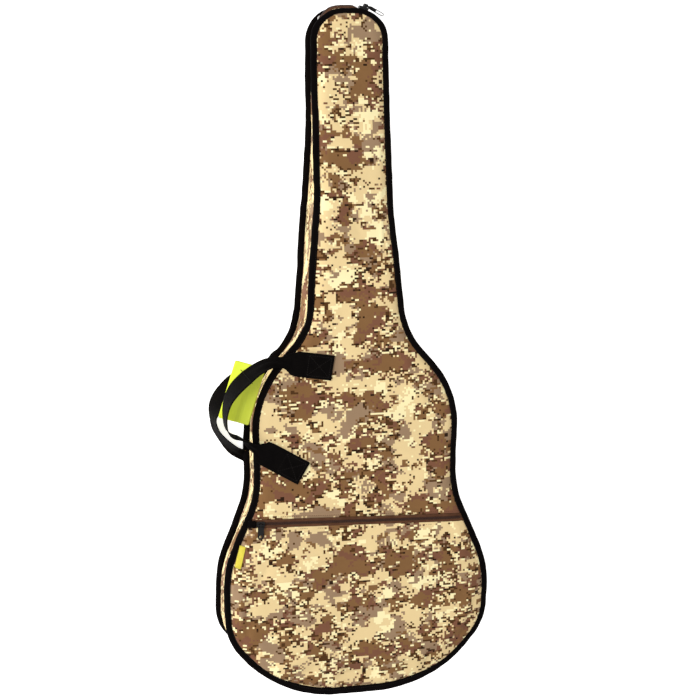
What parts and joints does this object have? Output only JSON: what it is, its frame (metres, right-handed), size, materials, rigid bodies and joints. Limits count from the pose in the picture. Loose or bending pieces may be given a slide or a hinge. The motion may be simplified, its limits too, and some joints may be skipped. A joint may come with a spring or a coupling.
{
  "type": "padded gig bag",
  "caption": "Padded guitar gig bag lying on its back, with a zipped lid, a zipped front pocket, two webbing carry loops, bound edges and a hang tag.",
  "frame": {"origin": "centre of the flat rest face of the back panel", "axes": "+Y along the bag towards the headstock, +Z out of the front panel, +X to the right seen from the front"},
  "size_m": [0.4383, 1.0497, 0.1167],
  "materials": {
    "camo_fabric": "woven polyester in a pixelated desert camouflage print",
    "padding_foam": "closed-cell foam padding",
    "lining_fabric": "thin woven lining",
    "binding_tape": "black grosgrain binding",
    "zipper_tape": "brown woven zipper tape",
    "zipper_coil": "brown nylon coil",
    "stop_metal": "crimped stop",
    "slider_enamel": "black enamelled die-cast zinc",
    "pull_tab_plastic": "moulded pull",
    "pull_tip_metal": "plated end of the pull",
    "handle_webbing": "38 mm polypropylene webbing",
    "label_fabric": "plain woven side label",
    "tag_card": "plain lime card",
    "tag_loop_plastic": "tag fastener",
    "eyelet_metal": "pressed eyelet"
  },
  "bodies": {
    "back_shell": {"back_panel_fabric": "camo_fabric", "back_panel_foam": "padding_foam", "back_panel_lining": "lining_fabric", "back_edge_binding": "binding_tape", "spine_gusset_fabric": "camo_fabric", "spine_gusset_foam": "padding_foam", "spine_gusset_lining": "lining_fabric", "rear_gusset_fabric": "camo_fabric", "rear_gusset_foam": "padding_foam", "rear_gusset_lining": "lining_fabric", "rear_zipper_tape": "zipper_tape", "rear_zipper_coil": "zipper_coil", "zipper_end_stops": "stop_metal", "back_handle_ends": "handle_webbing"},
    "front_lid": {"front_panel_fabric": "camo_fabric", "front_panel_foam": "padding_foam", "front_panel_lining": "lining_fabric", "front_edge_binding": "binding_tape", "front_gusset_fabric": "camo_fabric", "front_gusset_foam": "padding_foam", "front_gusset_lining": "lining_fabric", "front_zipper_tape": "zipper_tape", "front_zipper_coil": "zipper_coil", "pocket_panel": "camo_fabric", "pocket_zipper_upper_tape": "zipper_tape", "pocket_zipper_lower_tape": "zipper_tape", "pocket_zipper_upper_coil": "zipper_coil", "pocket_zipper_lower_coil": "zipper_coil", "pocket_zipper_end_tab": "binding_tape", "side_label": "label_fabric", "front_handle_ends": "handle_webbing"},
    "main_slider": {"main_slider_body": "slider_enamel", "main_slider_bail": "slider_enamel"},
    "main_pull": {"main_pull_tab": "pull_tab_plastic", "main_pull_tip": "pull_tip_metal"},
    "pocket_slider": {"pocket_slider_body": "slider_enamel", "pocket_slider_bail": "slider_enamel"},
    "pocket_pull": {"pocket_pull": "pull_tab_plastic"},
    "front_handle": {"front_handle_webbing": "handle_webbing", "hang_tag_loop": "tag_loop_plastic"},
    "back_handle": {"back_handle_webbing": "handle_webbing"},
    "hang_tag": {"hang_tag_card": "tag_card", "hang_tag_eyelet": "eyelet_metal"}
  },
  "joints": [
    {"name": "lid_hinge", "type": "hinge", "parent": "back_shell", "child": "front_lid", "pos_m": [-0.209, -0.36, 0.09], "axis": [-0.1759, -0.983, 0.0521], "range_deg": [0, 70]},
    {"name": "main_slider_travel", "type": "hinge", "parent": "back_shell", "child": "main_slider", "pos_m": [0.009, 0.4725, 0.031], "axis": [0, 0, 1], "range_deg": [-68, 0]},
    {"name": "main_pull_swing", "type": "hinge", "parent": "main_slider", "child": "main_pull", "pos_m": [0.02795, 0.52456, 0.031], "axis": [0, 0, 1], "range_deg": [0, 150]},
    {"name": "pocket_slider_travel", "type": "slide", "parent": "front_lid", "child": "pocket_slider", "axis": [0.9994, -0.0349, 0], "range_m": [0, 0.29]},
    {"name": "pocket_pull_swing", "type": "hinge", "parent": "pocket_slider", "child": "pocket_pull", "pos_m": [-0.15141, -0.23731, 0.1056], "axis": [-0.9994, 0.0349, 0], "range_deg": [0, 160]},
    {"name": "front_handle_swing", "type": "hinge", "parent": "front_lid", "child": "front_handle", "pos_m": [-0.13575, -0.056, 0.099], "axis": [0.3236, 0.9462, 0], "range_deg": [0, 110]},
    {"name": "back_handle_swing", "type": "hinge", "parent": "back_shell", "child": "back_handle", "pos_m": [-0.1535, -0.082, 0.0014], "axis": [0.1483, 0.9889, 0], "range_deg": [0, 25]},
    {"name": "hang_tag_swivel", "type": "hinge", "parent": "front_handle", "child": "hang_tag", "pos_m": [-0.16432, -0.01691, 0.072], "axis": [0, 0, 1], "range_deg": [-15, 5]}
  ]
}
